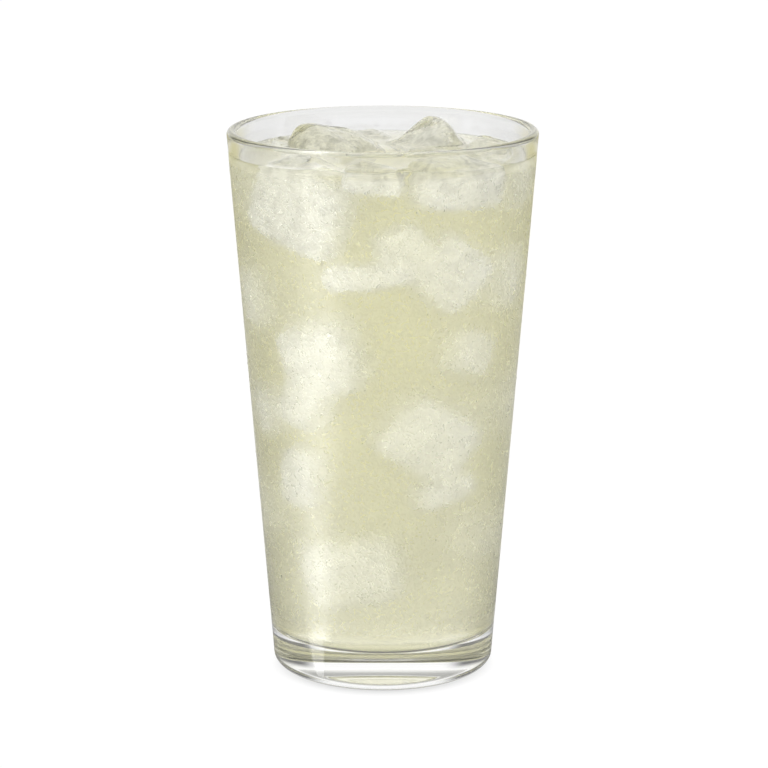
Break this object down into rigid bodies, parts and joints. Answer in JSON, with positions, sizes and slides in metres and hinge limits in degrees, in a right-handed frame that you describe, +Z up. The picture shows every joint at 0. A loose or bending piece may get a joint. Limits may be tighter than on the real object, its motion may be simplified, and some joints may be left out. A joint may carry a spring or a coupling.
{
  "type": "glass of rum cocktail",
  "caption": "Tall tapered clear tumbler with a thick base, filled nearly to the rim with a cloudy pale yellow rum cocktail and lumps of melting ice.",
  "frame": {"origin": "middle of the foot's contact ring, on the table", "axes": "+Z up along the tumbler's axis, -Y towards the side that the picture shows, +X to that side's right"},
  "size_m": [0.088, 0.088, 0.1572],
  "materials": {
    "clear_glass": "clear, polished, misted with fine condensation where the drink is behind it",
    "cloudy_drink": "cloudy pale yellow liquid",
    "melting_ice": "wet clear ice"
  },
  "bodies": {
    "root": {"glass": "clear_glass", "drink": "cloudy_drink", "ice_left": "melting_ice", "ice_right": "melting_ice", "ice_far_right": "melting_ice", "ice_back": "melting_ice", "ice_left_back": "melting_ice", "ice_front_left": "melting_ice", "ice_front_middle": "melting_ice", "ice_front_right": "melting_ice"}
  },
  "joints": []
}
